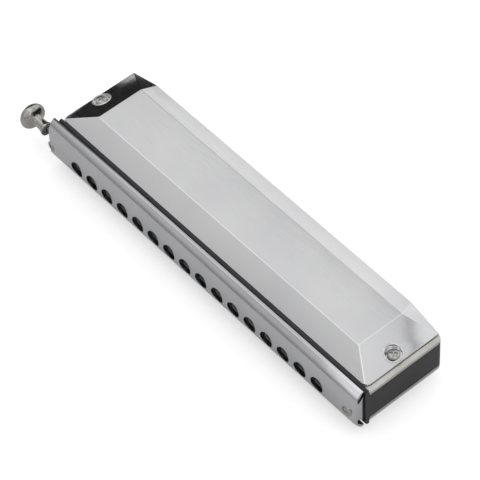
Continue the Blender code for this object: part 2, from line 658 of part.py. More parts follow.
def make_screws():
    """Return every fastener of the instrument."""
    made = []
    for side, word in ((1, "upper"), (-1, "lower")):
        seat = side * SEAT_PAD
        length = SEAT_PAD + SEAT - COVER_SCREW_END
        for (x, y), place in zip(cover_screw_places(), ("left", "right")):
            made.append(make_screw(f"{word}_cover_screw_{place}", "Z", side, (x, y, seat), 2.5 * MM, 1.2 * MM,
                                   MAIN_SHANK, length, True))
        length = PLATE_OUTER + SEAT - REED_SCREW_END
        for number, (x, y) in enumerate(REED_SCREW_PLACES, 1):
            made.append(make_screw(f"{word}_reed_screw_{number}", "Z", side, (x, y, side * PLATE_OUTER),
                                   1.5 * MM, 0.8 * MM, SMALL_SHANK, length, False, 8))
    length = MOUTH_SCREW_END - COUNTERBORE_FLOOR + SEAT
    for x, place in ((-MOUTH_SCREW_X, "left"), (MOUTH_SCREW_X, "right")):
        made.append(make_screw(f"mouthpiece_screw_{place}", "Y", -1, (x, COUNTERBORE_FLOOR, 0), 2.1 * MM,
                               0.9 * MM, MOUTH_SHANK, length, False))
    return made


def build():
    """Make every piece of the instrument."""
    make_comb()
    for side, word in ((1, "upper"), (-1, "lower")):
        make_reed_plate(side, word)
        make_cover(side, word)
    make_mouthpiece()
    make_backing_plate()
    make_cage()
    make_slide()
    make_knob()
    make_spring()
    make_screws()


build()
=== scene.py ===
"""Looks of a sixteen-hole chromatic harmonica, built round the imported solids."""
import logging
import math
from dataclasses import dataclass
from enum import Enum
from typing import Callable, Iterable, Sequence

import bmesh
import bpy
from mathutils import Matrix, Vector


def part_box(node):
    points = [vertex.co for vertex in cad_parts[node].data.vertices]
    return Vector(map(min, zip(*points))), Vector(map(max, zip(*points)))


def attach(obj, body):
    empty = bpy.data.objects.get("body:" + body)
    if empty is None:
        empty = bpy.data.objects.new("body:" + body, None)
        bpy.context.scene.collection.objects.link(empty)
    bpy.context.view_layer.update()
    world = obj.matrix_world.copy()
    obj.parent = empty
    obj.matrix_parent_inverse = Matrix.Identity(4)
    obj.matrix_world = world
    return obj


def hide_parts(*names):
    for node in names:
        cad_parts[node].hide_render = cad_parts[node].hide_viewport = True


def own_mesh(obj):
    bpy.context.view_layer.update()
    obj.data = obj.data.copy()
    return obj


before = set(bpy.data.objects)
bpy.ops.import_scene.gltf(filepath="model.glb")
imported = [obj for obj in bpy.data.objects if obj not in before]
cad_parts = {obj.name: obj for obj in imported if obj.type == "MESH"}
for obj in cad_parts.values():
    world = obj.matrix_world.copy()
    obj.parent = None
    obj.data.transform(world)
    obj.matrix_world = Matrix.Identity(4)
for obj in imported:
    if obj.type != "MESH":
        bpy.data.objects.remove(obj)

MM = 0.001
NEAR = 0.01 * MM
LOG = logging.getLogger("harmonica")
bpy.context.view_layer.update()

Point = tuple[float, float, float]


class Side(Enum):
    """Which of the two covers a piece belongs to."""

    UPPER = 1
    LOWER = -1

    @property
    def word(self) -> str:
        """The word that starts the side's node names."""
        return self.name.lower()


class Axis(Enum):
    """The axis a turned or drilled piece stands on, with the turn that lays +Z along it."""

    X = (0.0, math.pi / 2, 0.0)
    Y = (-math.pi / 2, 0.0, 0.0)
    Z = (0.0, 0.0, 0.0)


def linear(code: str) -> tuple[float, float, float, float]:
    """Turn an sRGB hex code to the linear colour a shader takes.

    Args:
        code: six hex digits after a hash mark.

    Returns:
        Red, green, blue and alpha.
    """
    parts = [int(code[i:i + 2], 16) / 255 for i in (1, 3, 5)]
    return (*[c / 12.92 if c <= 0.04045 else ((c + 0.055) / 1.055) ** 2.4 for c in parts], 1.0)


def put(tree: bpy.types.NodeTree, kind: str, settings: dict | None = None,
        inputs: dict | None = None) -> bpy.types.Node:
    """Add a node, set its properties and fill or link its inputs.

    Args:
        tree: the tree that gets the node.
        kind: the node's type name.
        settings: property names and values.
        inputs: socket names or numbers, each with a value or an output socket to link.

    Returns:
        The new node.
    """
    node = tree.nodes.new(kind)
    for name, value in (settings or {}).items():
        setattr(node, name, value)
    for name, value in (inputs or {}).items():
        if isinstance(value, bpy.types.NodeSocket):
            tree.links.new(value, node.inputs[name])
        else:
            node.inputs[name].default_value = value
    return node


@dataclass(frozen=True)
class Finish:
    """One surface finish, drawn from the way its real surface is made."""

    name: str
    colour: str
    worn: str
    roughness: float
    metallic: float
    grain_mm: float
    grain_stretch: Point = (1.0, 1.0, 1.0)
    grain_rough: float = 0.05
    bump: float = 0.05
    cloud_mm: float = 18.0
    edge_mm: float = 0.2
    wave_mm: float = 0.0
    least_rough: float = 0.02

    def build(self) -> bpy.types.Material:
        """Return the node material: clouded colour, uneven gloss, fine grain and soft edges."""
        material = bpy.data.materials.new(self.name)
        material.use_nodes = True
        tree = material.node_tree
        shader = tree.nodes["Principled BSDF"]
        place = put(tree, "ShaderNodeTexCoord").outputs["Object"]
        turned = put(tree, "ShaderNodeMapping", inputs={"Vector": place, "Scale": self.grain_stretch})
        grain = put(tree, "ShaderNodeTexNoise", inputs={
            "Vector": turned.outputs["Vector"], "Scale": 1 / (self.grain_mm * MM), "Detail": 4.0})
        clouds = put(tree, "ShaderNodeTexNoise", inputs={
            "Vector": place, "Scale": 1 / (self.cloud_mm * MM), "Detail": 3.0})
        shade = put(tree, "ShaderNodeMapRange", inputs={
            "Value": clouds.outputs["Fac"], "From Min": 0.35, "From Max": 0.7})
        colour = put(tree, "ShaderNodeMix", {"data_type": "RGBA"}, {
            "Factor": shade.outputs["Result"], 6: linear(self.colour), 7: linear(self.worn)})
        gloss = put(tree, "ShaderNodeMapRange", inputs={
            "Value": grain.outputs["Fac"], "From Min": 0.3, "From Max": 0.7,
            "To Min": max(self.roughness - self.grain_rough, self.least_rough),
            "To Max": self.roughness + self.grain_rough})
        edge = put(tree, "ShaderNodeBevel", {"samples": 4}, {"Radius": self.edge_mm * MM})
        wave = put(tree, "ShaderNodeBump", inputs={
            "Height": clouds.outputs["Fac"], "Strength": 1.0, "Distance": self.wave_mm * MM,
            "Normal": edge.outputs["Normal"]})
        bump = put(tree, "ShaderNodeBump", inputs={
            "Height": grain.outputs["Fac"], "Strength": self.bump, "Distance": 0.05 * MM,
            "Normal": wave.outputs["Normal"]})
        shader.inputs["Metallic"].default_value = self.metallic
        tree.links.new(colour.outputs[2], shader.inputs["Base Color"])
        tree.links.new(gloss.outputs["Result"], shader.inputs["Roughness"])
        tree.links.new(bump.outputs["Normal"], shader.inputs["Normal"])
        return material


# Real grit and tool lines are finer than a pixel here, so every grain below is drawn coarse enough to show

# Bright chrome over pressed brass sheet, wiped along the length: long hairlines blur its reflections, and
# slow waves of the sheet change its tone
COVER_CHROME = Finish("brushed_chrome_plate", "#E6E6E7", "#DCDCDE", 0.13, 1.0, 0.35, (0.03, 1.0, 1.0),
                      0.07, 0.16, 42.0, 0.15, 0.3)
# Chrome over a bent channel: smoother, with faint polishing marks along the length
MOUTH_CHROME = Finish("polished_chrome_channel", "#DADADC", "#D2D2D4", 0.12, 1.0, 0.5, (0.05, 1.0, 1.0),
                      0.05, 0.10, 30.0, 0.12, 0.15)
# Nickel on turned brass: warmer and darker than chrome, with a sharp gloss
TURNED_NICKEL = Finish("turned_nickel", "#C4C2BD", "#A9A7A2", 0.14, 1.0, 0.4, (1.0, 1.0, 1.0), 0.06, 0.05,
                       6.0, 0.1)
# Zinc-plated steel screws: a pale grey, less glossy than the chrome round them
SCREW_ZINC = Finish("zinc_screw", "#C9C9C6", "#A9A9A6", 0.25, 1.0, 0.3, (1.0, 1.0, 1.0), 0.08, 0.1, 3.0, 0.08)
# Milled and nickelled reed plate: pale, dull metal with tool marks across the plate
PLATE_METAL = Finish("milled_reed_plate", "#DAD9D5", "#CBC9C3", 0.30, 1.0, 0.25, (1.0, 0.05, 1.0), 0.08, 0.15,
                     8.0, 0.15)
# Moulded black ABS with a fine satin texture
COMB_ABS = Finish("moulded_abs", "#232326", "#2B2B2E", 0.38, 0.0, 0.12, (1.0, 1.0, 1.0), 0.08, 0.25,
                  12.0, 0.3)
# Rolled spring steel of the slide parts: plain grey, with faint lines along the strip
SLIDE_STEEL = Finish("rolled_steel", "#A8A8A9", "#949496", 0.28, 1.0, 0.2, (0.05, 1.0, 1.0), 0.06, 0.08,
                     10.0, 0.08)


def only(obj: bpy.types.Object) -> None:
    """Make one object the only selected one, and active.

    Args:
        obj: the object.
    """
    bpy.ops.object.select_all(action="DESELECT")
    obj.select_set(True)
    bpy.context.view_layer.objects.active = obj


def settle(obj: bpy.types.Object) -> bpy.types.Object:
    """Put an object's place, turn and scale into its mesh.

    Args:
        obj: the object.

    Returns:
        The same object, at the origin.
    """
    only(obj)
    bpy.ops.object.transform_apply(location=True, rotation=True, scale=True)
    return obj


def block(name: str, low: Point, high: Point) -> bpy.types.Object:
    """Add a box between two corners.

    Args:
        name: the new object's name.
        low: lowest corner.
        high: highest corner.

    Returns:
        The box, with its place in its mesh.
    """
    bpy.ops.object.select_all(action="DESELECT")
    middle = [(a + b) / 2 for a, b in zip(low, high)]
    bpy.ops.mesh.primitive_cube_add(size=1.0, location=middle)
    obj = bpy.context.active_object
    obj.name = name
    obj.scale = [abs(b - a) for a, b in zip(low, high)]
    return settle(obj)


def rod(name: str, axis: Axis, middle: Point, radius: float, length: float,
        sides: int = 64) -> bpy.types.Object:
    """Add a cylinder along an axis.

    Args:
        name: the new object's name.
        axis: the way it points.
        middle: its middle.
        radius: its radius.
        length: its length.
        sides: how many faces go round it.

    Returns:
        The cylinder, with its place in its mesh.
    """
    bpy.ops.object.select_all(action="DESELECT")
    bpy.ops.mesh.primitive_cylinder_add(vertices=sides, radius=radius, depth=length, location=middle,
                                        rotation=axis.value)
    obj = bpy.context.active_object
    obj.name = name
    return settle(obj)


def lathe(name: str, profile: Sequence[tuple[float, float]], sides: int = 64) -> bpy.types.Object:
    """Turn a profile about Z by extruding and resizing a disc.

    Args:
        name: the new object's name.
        profile: (radius, height) points from the bottom up; radii above zero.
        sides: how many faces go round it.

    Returns:
        A closed turned solid.
    """
    bpy.ops.object.select_all(action="DESELECT")
    radius, height = profile[0]
    bpy.ops.mesh.primitive_circle_add(vertices=sides, radius=radius, fill_type="NGON",
                                      location=(0, 0, height))
    obj = settle(bpy.context.active_object)
    obj.name = name
    bpy.ops.object.mode_set(mode="EDIT")
    bpy.ops.mesh.select_all(action="SELECT")
    for next_radius, next_height in profile[1:]:
        bpy.ops.mesh.extrude_region_move(TRANSFORM_OT_translate={"value": (0, 0, next_height - height)})
        ratio = next_radius / radius
        bpy.ops.transform.resize(value=(ratio, ratio, 1), center_override=(0, 0, next_height))
        radius, height = next_radius, next_height
    bpy.ops.mesh.select_all(action="SELECT")
    bpy.ops.mesh.normals_make_consistent(inside=False)
    bpy.ops.object.mode_set(mode="OBJECT")
    return obj


def slice_off(obj: bpy.types.Object, point: Point, normal: Point) -> None:
    """Cut away what lies beyond a plane and close the cut.

    Args:
        obj: the solid to cut.
        point: a point of the plane.
        normal: the plane's normal, towards what goes.
    """
    only(obj)
    bpy.ops.object.mode_set(mode="EDIT")
    bpy.ops.mesh.select_all(action="SELECT")
    bpy.ops.mesh.bisect(plane_co=point, plane_no=normal, use_fill=True, clear_outer=True)
    bpy.ops.object.mode_set(mode="OBJECT")


def round_edges(obj: bpy.types.Object, wanted: Callable[[Vector, Vector], bool], radius: float,
                segments: int) -> None:
    """Bevel the edges whose two ends pass a test.

    Args:
        obj: the solid to soften.
        wanted: takes an edge's ends and says if it is rounded.
        radius: how far the round reaches.
        segments: how many faces cross it.
    """
    only(obj)
    bpy.ops.object.mode_set(mode="EDIT")
    bpy.ops.mesh.select_mode(type="EDGE")
    bpy.ops.mesh.select_all(action="DESELECT")
    mesh = bmesh.from_edit_mesh(obj.data)
    for edge in mesh.edges:
        edge.select_set(wanted(edge.verts[0].co, edge.verts[1].co))
    bmesh.update_edit_mesh(obj.data)
    bpy.ops.mesh.bevel(offset=radius, segments=segments, affect="EDGES")
    bpy.ops.object.mode_set(mode="OBJECT")


def apply_step(obj: bpy.types.Object, kind: str, **settings: object) -> None:
    """Add a modifier, set it and apply it.

    Args:
        obj: the piece.
        kind: the modifier's type.
        **settings: its properties.
    """
    only(obj)
    step = obj.modifiers.new("step", kind)
    for name, value in settings.items():
        setattr(step, name, value)
    bpy.ops.object.modifier_apply(modifier=step.name)


def carve(obj: bpy.types.Object, tools: Iterable[bpy.types.Object], operation: str = "DIFFERENCE") -> None:
    """Apply tools to a solid one by one and remove them.

    Args:
        obj: the solid.
        tools: the tools, used up here.
        operation: DIFFERENCE, UNION or INTERSECT.
    """
    for tool in list(tools):
        apply_step(obj, "BOOLEAN", operation=operation, solver="EXACT", object=tool)
        bpy.data.objects.remove(tool, do_unlink=True)


def soften(obj: bpy.types.Object, width: float, segments: int, angle: float) -> None:
    """Round every sharp edge a little and shade the piece smooth between the sharp ones.

    Args:
        obj: the piece.
        width: how far each round reaches.
        segments: how many faces cross it.
        angle: the angle in degrees above which an edge is sharp.
    """
    apply_step(obj, "BEVEL", width=width, segments=segments, limit_method="ANGLE",
               angle_limit=math.radians(angle), miter_outer="MITER_ARC")
    only(obj)
    bpy.ops.object.shade_smooth_by_angle(angle=math.radians(angle))


def dress(obj: bpy.types.Object, material: bpy.types.Material) -> None:
    """Give a piece one material."""
    obj.data.materials.clear()
    obj.data.materials.append(material)


def copy_of(obj: bpy.types.Object, name: str, place: Matrix) -> bpy.types.Object:
    """Copy a piece with its own mesh and move the copy's mesh.

    Args:
        obj: the piece to copy.
        name: the copy's name.
        place: where the mesh goes.

    Returns:
        The copy, at the origin.
    """
    twin = obj.copy()
    twin.data = obj.data.copy()
    twin.name = name
    bpy.context.collection.objects.link(twin)
    twin.data.transform(place)
    if place.determinant() < 0:
        twin.data.flip_normals()
    return twin


def stand_in(obj: bpy.types.Object, body: str, slot: str, *nodes: str) -> None:
    """Make a piece ride on a body in place of CAD nodes.

    Args:
        obj: the piece.
        body: the body it moves with.
        slot: a material slot's name; not used.
        *nodes: the CAD nodes it stands for.
    """
    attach(obj, body)
    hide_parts(*nodes)
    LOG.info("built %s, %d faces", obj.name, len(obj.data.polygons))


@dataclass
class Cover:
    """One pressed cover: hipped sheet, open at the back, with a screw seat at each end."""

    side: Side
    middle: float = 14.33 * MM
    half_length: float = 87.5 * MM
    front: float = -19.07 * MM
    rear: float = 17.13 * MM
    base: float = 8.5 * MM
    rim: float = 9.0 * MM
    top: float = 14.33 * MM
    top_half_length: float = 74.7 * MM
    top_half_width: float = 10.57 * MM
    ridge_half_length: float = 72.7 * MM
    ridge: float = 13.4 * MM
    corner: float = 3.0 * MM
    fold: float = 1.1 * MM
    sheet: float = 0.8 * MM
    screw_x: float = 83.9 * MM
    screw_y: float = -2.07 * MM
    seat: float = 9.6 * MM
    seat_radius: float = 3.6 * MM
    seat_wall: float = 0.6 * MM
    bead: float = 0.3 * MM
    bead_gap: float = 0.1 * MM
    bore: float = 1.25 * MM
    back_half: float = 76.0 * MM
    back_top: float = 12.0 * MM
    tool: float = 10.0 * MM
    overcut: float = 2.0 * MM
    corner_faces: int = 8
    fold_faces: int = 4
    fold_angle: float = math.radians(6)
    sharp_angle: float = math.radians(28)

    def form(self, name: str, inset: float, base: float) -> bpy.types.Object:
        """Return the cover's solid form about the middle plane, drawn in by a wall.

        Args:
            name: the new object's name.
            inset: how far in the faces lie.
            base: height of the open underside.

        Returns:
            The folded form with soft edges.
        """
        half = self.half_length - inset
        low, high = (-half, self.front + inset, base), (half, self.rear - inset, self.top - inset)
        shape = block(name, low, high)
        for corner_x in (-half, half):
            round_edges(shape, lambda a, b: self.upright(a, b, corner_x, self.front + inset),
                        self.corner, self.corner_faces)
        rise = self.top - self.rim
        for way in (-1, 1):
            run = self.half_length - self.top_half_length
            normal = Vector((way * rise, 0, run)).normalized()
            slice_off(shape, Vector((way * self.half_length, 0, self.rim)) - normal * inset, normal)
            facet = self.facet_normal(way)
            ridge_end = Vector((way * self.ridge_half_length, self.rear, self.ridge))
            slice_off(shape, ridge_end - facet * inset, facet)
        normal = Vector((0, -rise, -self.front - self.top_half_width)).normalized()
        slice_off(shape, Vector((0, self.front, self.rim)) - normal * inset, normal)
        normal = Vector((0, self.top - self.ridge, self.rear - self.top_half_width)).normalized()
        slice_off(shape, Vector((0, self.rear, self.ridge)) - normal * inset, normal)
        apply_step(shape, "BEVEL", width=self.fold, segments=self.fold_faces, limit_method="ANGLE",
                   angle_limit=self.fold_angle, use_clamp_overlap=True)
        return shape

    @staticmethod
    def upright(a: Vector, b: Vector, x: float, y: float) -> bool:
        """Say whether an edge stands upright at a plan corner."""
        return all(abs(p.x - x) < NEAR and abs(p.y - y) < NEAR for p in (a, b))

    def facet_normal(self, way: int) -> Vector:
        """Work out the small face between the end slope and the back edge.

        Args:
            way: -1 at the left end, 1 at the right.

        Returns:
            The face's normal, pointing up and out.
        """
        fold = Vector((way * self.top_half_length, self.top_half_width, self.top))
        ridge = Vector((way * self.ridge_half_length, self.rear, self.ridge))
        foot = Vector((way * self.half_length, self.rear, self.rim))
        normal = (ridge - fold).cross(foot - fold).normalized()
        return normal if normal.z > 0 else -normal

    def build(self, material: bpy.types.Material) -> None:
        """Make the cover and its two rolled seat rings, then put them in the node's place.

        Args:
            material: the cover's finish.
        """
        name = f"{self.side.word}_cover_sheet"
        shell = self.form(name, 0.0, self.base)
        hollow = self.form(f"{name}_hollow", self.sheet, self.base - self.overcut)
        seats = [(way * self.screw_x, self.screw_y) for way in (-1, 1)]
        outer = self.seat_radius + self.seat_wall
        posts = [rod(f"{name}_post", Axis.Z, (x, y, self.top), outer, 2 * self.tool) for x, y in seats]
        carve(hollow, posts)
        over = self.overcut
        back = block(f"{name}_back", (-self.back_half, self.rear - over, self.base - over),
                     (self.back_half, self.rear + over, self.back_top))
        pads = [rod(f"{name}_pad", Axis.Z, (x, y, self.seat + self.tool / 2), self.seat_radius, self.tool)
                for x, y in seats]
        bores = [rod(f"{name}_bore", Axis.Z, (x, y, self.seat), self.bore, self.tool, 32) for x, y in seats]
        carve(shell, [hollow, back, *pads, *bores])
        rings = [self.ring(name, way) for way in (-1, 1)]
        carve(shell, rings, "UNION")
        shell.data.transform(self.place())
        if self.side is Side.LOWER:
            shell.data.flip_normals()
        only(shell)
        bpy.ops.object.shade_smooth_by_angle(angle=self.sharp_angle)
        dress(shell, material)
        stand_in(shell, "harmonica_body", "chrome", f"{self.side.word}_cover")

    def ring(self, name: str, way: int) -> bpy.types.Object:
        """Roll the bead round a screw seat, lying on the end slope.

        Args:
            name: the cover's name.
            way: -1 at the left end, 1 at the right.

        Returns:
            The bead as a torus.
        """
        bpy.ops.object.select_all(action="DESELECT")
        slope = math.atan2(self.top - self.rim, self.half_length - self.top_half_length)
        level = self.rim + (self.half_length - self.screw_x) * math.tan(slope)
        bpy.ops.mesh.primitive_torus_add(
            major_segments=72, minor_segments=12, major_radius=self.seat_radius + self.bead_gap,
            minor_radius=self.bead, location=(way * self.screw_x, self.screw_y, level),
            rotation=(0, way * slope, 0))
        ring = bpy.context.active_object
        ring.name = f"{name}_ring"
        return settle(ring)

    def place(self) -> Matrix:
        """Return the move from the middle plane to the side's own height."""
        flip = Matrix.Diagonal((1, 1, self.side.value, 1))
        return Matrix.Translation((0, 0, self.middle)) @ flip


@dataclass
class Mouthpiece:
    """The chrome channel with its round nose, holes and folded ends.

    floor_slope and mitre_slope hold a slope's rise and run in millimetres.
    """

    middle: float = 14.33 * MM
    half_length: float = 89.0 * MM
    rear: float = -21.37 * MM
    half_height: float = 10.25 * MM
    arc_centre: float = -13.0 * MM
    arc_radius: float = 14.0 * MM
    corner: float = 4.0 * MM
    wall: float = 0.9 * MM
    hole_radius: float = 3.35 * MM
    pitch: float = 9.3 * MM
    holes: int = 16
    cavity_floor: float = -24.4 * MM
    floor_half: float = 6.9 * MM
    crease: float = 4.86 * MM
    flange: float = 7.95 * MM
    floor_slope: tuple[float, float] = (2.45, 2.1)
    mitre_lip: float = 0.25 * MM
    mitre_slope: tuple[float, float] = (3.09, 3.78)
    screw_x: float = 86.0 * MM
    counterbore: float = -26.0 * MM
    head_bore: float = 2.5 * MM
    shank_bore: float = 1.0 * MM
    tool: float = 10.0 * MM
    drill: float = 12.0 * MM
    slot_front: float = -23.1 * MM
    slot_half: float = 2.9 * MM
    lip: float = 0.18 * MM
    corner_faces: int = 12

    def build(self, material: bpy.types.Material) -> None:
        """Make the channel, drill it and put it in the node's place.

        Args:
            material: the channel's finish.
        """
        nose = self.arc_centre - self.arc_radius
        piece = rod("mouthpiece_channel", Axis.X, (0, self.arc_centre, 0), self.arc_radius,
                    2 * self.half_length, 256)
        plan = block("plan", (-self.half_length, nose - NEAR, -self.half_height),
                     (self.half_length, self.rear, self.half_height))
        round_edges(plan, lambda a, b: all(p.y < nose and abs(p.x) > self.half_length - NEAR for p in (a, b))
                    and abs(a.z - b.z) > MM, self.corner, self.corner_faces)
        carve(piece, [plan], "INTERSECT")
        inner = self.half_height - self.wall
        inside = self.half_length - self.wall
        cavity = block("cavity", (-inside, self.cavity_floor, -inner), (inside, self.rear + 2 * MM, inner))
        for side in (-1, 1):
            slice_off(cavity, (0, self.cavity_floor, side * self.floor_half), self.slope(side).normalized())
        carve(piece, [cavity])
        for way in (-1, 1):
            for side in (-1, 1):
                carve(piece, [self.mitre(way, side, inner)])
        for index in range(self.holes):
            x = (index - (self.holes - 1) / 2) * self.pitch
            carve(piece, [rod("hole", Axis.Y, (x, nose, 0), self.hole_radius, self.drill, 64)])
        for way in (-1, 1):
            x = way * self.screw_x
            bore_middle = (x, self.counterbore - self.tool / 2, 0)
            carve(piece, [rod("bore", Axis.Y, bore_middle, self.head_bore, self.tool, 48),
                          rod("shank", Axis.Y, (x, nose, 0), self.shank_bore, self.drill, 32)])
        slot = block("tab_slot", (-self.half_length - MM, self.slot_front, -self.slot_half),
                     (-inside + MM, self.rear + MM, self.slot_half))
        carve(piece, [slot])
        piece.data.transform(Matrix.Translation((0, 0, self.middle)))
        soften(piece, self.lip, 3, 30.0)
        dress(piece, material)
        stand_in(piece, "harmonica_body", "chrome", "mouthpiece")

    def slope(self, side: int) -> Vector:
        """Return which way the slope between the hollow's floor and its wall faces."""
        rise, run = self.floor_slope
        return Vector((0, -rise, side * run))

    def mitre(self, way: int, side: int, inner: float) -> bpy.types.Object:
        """Make the cutter that opens the folded end below a flange.

        Args:
            way: -1 at the left end, 1 at the right.
            side: 1 for the upper flange, -1 for the lower.
            inner: half height of the hollow.

        Returns:
            The cutter.
        """
        inside, outside = self.half_length - 2 * self.wall, self.half_length + MM
        bottom, back = self.cavity_floor + self.mitre_lip, self.rear + MM
        low = (min(way * inside, way * outside), bottom, min(side * self.crease, side * inner))
        high = (max(way * inside, way * outside), back, max(side * self.crease, side * inner))
        tool = block("mitre", low, high)
        rise, run = self.mitre_slope
        slice_off(tool, (0, back, side * self.flange), Vector((0, rise, side * -run)))
        slice_off(tool, (0, self.cavity_floor, side * self.floor_half), self.slope(side))
        return tool


@dataclass
class Screws:
    """Every screw whose head shows, all with crossed recesses: four in the covers, two in the mouthpiece.

    cover_sizes and mouth_sizes hold the head's radius and height, then the shank's length and radius.
    """

    middle: float = 14.33 * MM
    cover_place: tuple[float, float] = (83.9 * MM, -2.07 * MM)
    cover_height: float = 9.9 * MM
    mouth_place: tuple[float, float] = (86.0 * MM, -26.3 * MM)
    cover_sizes: tuple[float, float, float, float] = (2.5 * MM, 1.2 * MM, 8.4 * MM, 0.95 * MM)
    mouth_sizes: tuple[float, float, float, float] = (2.1 * MM, 0.9 * MM, 12.3 * MM, 0.7 * MM)
    tip_radius: float = 0.3 * MM
    tip_length: float = 0.7 * MM
    brim: float = 0.12
    arm_reach: float = 0.6
    arm_width: float = 0.11
    recess_depth: float = 0.6
    lip: float = 0.06 * MM

    def crossed(self, name: str, radius: float, rise: float, length: float, shank: float) -> bpy.types.Object:
        """Make one domed screw with a crossed recess, standing on Z.

        Args:
            name: the new object's name.
            radius: the head's radius.
            rise: the head's height.
            length: the shank's length.
            shank: the shank's radius.

        Returns:
            The screw, with its head's underside at the origin.
        """
        outline = [(self.tip_radius, -length), (shank, self.tip_length - length), (shank, 0.0)]
        outline += [(radius, 0.0001 * MM), (radius, rise * self.brim)]
        outline += [(radius * math.cos(t), rise * (self.brim + (1 - self.brim) * math.sin(t)))
                    for t in (math.radians(15 * k) for k in range(1, 6))]
        outline.append((radius * 0.02, rise))
        screw = lathe(name, outline, 48)
        arm, thick, deep = radius * self.arm_reach, radius * self.arm_width, rise * self.recess_depth
        carve(screw, [block("arm", (-arm, -thick, rise - deep), (arm, thick, rise + MM)),
                      block("arm", (-thick, -arm, rise - deep), (thick, arm, rise + MM))])
        soften(screw, self.lip, 2, 40.0)
        return screw

    def build(self, material: bpy.types.Material) -> None:
        """Make one screw of each kind and copy it to its places.

        Args:
            material: the screws' finish.
        """
        master = self.crossed("cover_screw_master", *self.cover_sizes)
        for side in Side:
            for way, word in ((-1, "left"), (1, "right")):
                # no two screws stop at the same turn
                turn = Matrix.Rotation(math.radians(20 + 25 * way + 90 * (side is Side.LOWER)), 4, "Z")
                over = Matrix.Rotation(0 if side is Side.UPPER else math.pi, 4, "X")
                place = Matrix.Translation((way * self.cover_place[0], self.cover_place[1],
                                            self.middle + side.value * self.cover_height))
                screw = copy_of(master, f"{side.word}_cover_screw_head_{word}", place @ over @ turn)
                dress(screw, material)
                stand_in(screw, "harmonica_body", "nickel", f"{side.word}_cover_screw_{word}")
        bpy.data.objects.remove(master, do_unlink=True)
        master = self.crossed("mouth_screw_master", *self.mouth_sizes)
        lay = Matrix.Rotation(math.pi / 2, 4, "X")
        for way, word in ((-1, "left"), (1, "right")):
            place = Matrix.Translation((way * self.mouth_place[0], self.mouth_place[1], self.middle))
            screw = copy_of(master, f"mouthpiece_screw_head_{word}", place @ lay)
            dress(screw, material)
            stand_in(screw, "harmonica_body", "nickel", f"mouthpiece_screw_{word}")
        bpy.data.objects.remove(master, do_unlink=True)


@dataclass
class Knob:
    """The mushroom knob on the slide's tongue.

    profile holds points from the base to the crown, as shares of the radius and the length.
    """

    middle: float = 14.33 * MM
    base_x: float = -93.95 * MM
    y: float = -22.3 * MM
    radius: float = 5.6 * MM
    length: float = 13.0 * MM
    socket_half_thick: float = 0.8 * MM
    socket_half_wide: float = 1.6 * MM
    socket_deep: float = 2.85 * MM
    profile: tuple[tuple[float, float], ...] = (
        (0.52, 0.0), (0.52, 0.05), (0.49, 0.09), (0.45, 0.14), (0.42, 0.2), (0.4, 0.27),
        (0.39, 0.33), (0.39, 0.38), (0.4, 0.43), (0.43, 0.47), (0.49, 0.5), (0.58, 0.53),
        (0.69, 0.557), (0.8, 0.585), (0.89, 0.614), (0.95, 0.645), (0.985, 0.677), (1.0, 0.71),
        (0.997, 0.745), (0.98, 0.78), (0.94, 0.822), (0.88, 0.86), (0.8, 0.895), (0.7, 0.925),
        (0.6, 0.949), (0.48, 0.968), (0.36, 0.983), (0.24, 0.993), (0.12, 0.998),
        (0.03, 1.0))

    def build(self, material: bpy.types.Material) -> None:
        """Turn the knob, socket it and put it in the node's place.

        Args:
            material: the knob's finish.
        """
        knob = lathe("slide_knob_turned", [(r * self.radius, h * self.length) for r, h in self.profile], 96)
        thick, wide = self.socket_half_thick, self.socket_half_wide
        carve(knob, [block("socket", (-thick, -wide, -MM), (thick, wide, self.socket_deep))])
        lay = Matrix.Translation((self.base_x, self.y, self.middle)) @ Matrix.Rotation(-math.pi / 2, 4, "Y")
        turn = lay @ Matrix.Rotation(math.pi / 2, 4, "Z")
        knob.data.transform(turn)
        only(knob)
        bpy.ops.object.shade_smooth_by_angle(angle=math.radians(40))
        dress(knob, material)
        stand_in(knob, "slide_body", "nickel", "slide_knob")


@dataclass
class Spring:
    """The return spring behind the slide's end, wound from round wire."""

    middle: float = 14.33 * MM
    y: float = -22.3 * MM
    radius: float = 0.9 * MM
    wire: float = 0.18 * MM
    turns: int = 8
    travel: float = 4.65 * MM

    def build(self, material: bpy.types.Material) -> None:
        """Wind the wire over the node's length.

        Args:
            material: the spring's finish.
        """
        low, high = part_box("slide_spring")
        length = high[0] - low[0] - 2 * self.wire
        bpy.ops.object.select_all(action="DESELECT")
        bpy.ops.mesh.primitive_circle_add(vertices=12, radius=self.wire, location=(0, self.radius, 0),
                                          rotation=Axis.Y.value)
        spring = settle(bpy.context.active_object)
        spring.name = "slide_spring_coil"
        spring.data.transform(Matrix.Rotation(math.pi / 2, 4, "Y"))
        apply_step(spring, "SCREW", axis="X", steps=32, render_steps=32, angle=math.tau * self.turns,
                   screw_offset=length, use_smooth_shade=True)
        bpy.ops.object.mode_set(mode="EDIT")
        bpy.ops.mesh.select_mode(type="EDGE")
        bpy.ops.mesh.select_all(action="DESELECT")
        bpy.ops.mesh.select_non_manifold(extend=False, use_wire=False, use_multi_face=False,
                                         use_non_contiguous=False, use_verts=False)
        bpy.ops.mesh.edge_face_add()
        bpy.ops.mesh.select_all(action="SELECT")
        bpy.ops.mesh.normals_make_consistent(inside=False)
        bpy.ops.object.mode_set(mode="OBJECT")
        spring.data.transform(Matrix.Translation((low[0] + self.wire, self.y, self.middle)))
        dress(spring, material)
        stand_in(spring, "harmonica_body", "spring_steel", "slide_spring")
        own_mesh(spring)


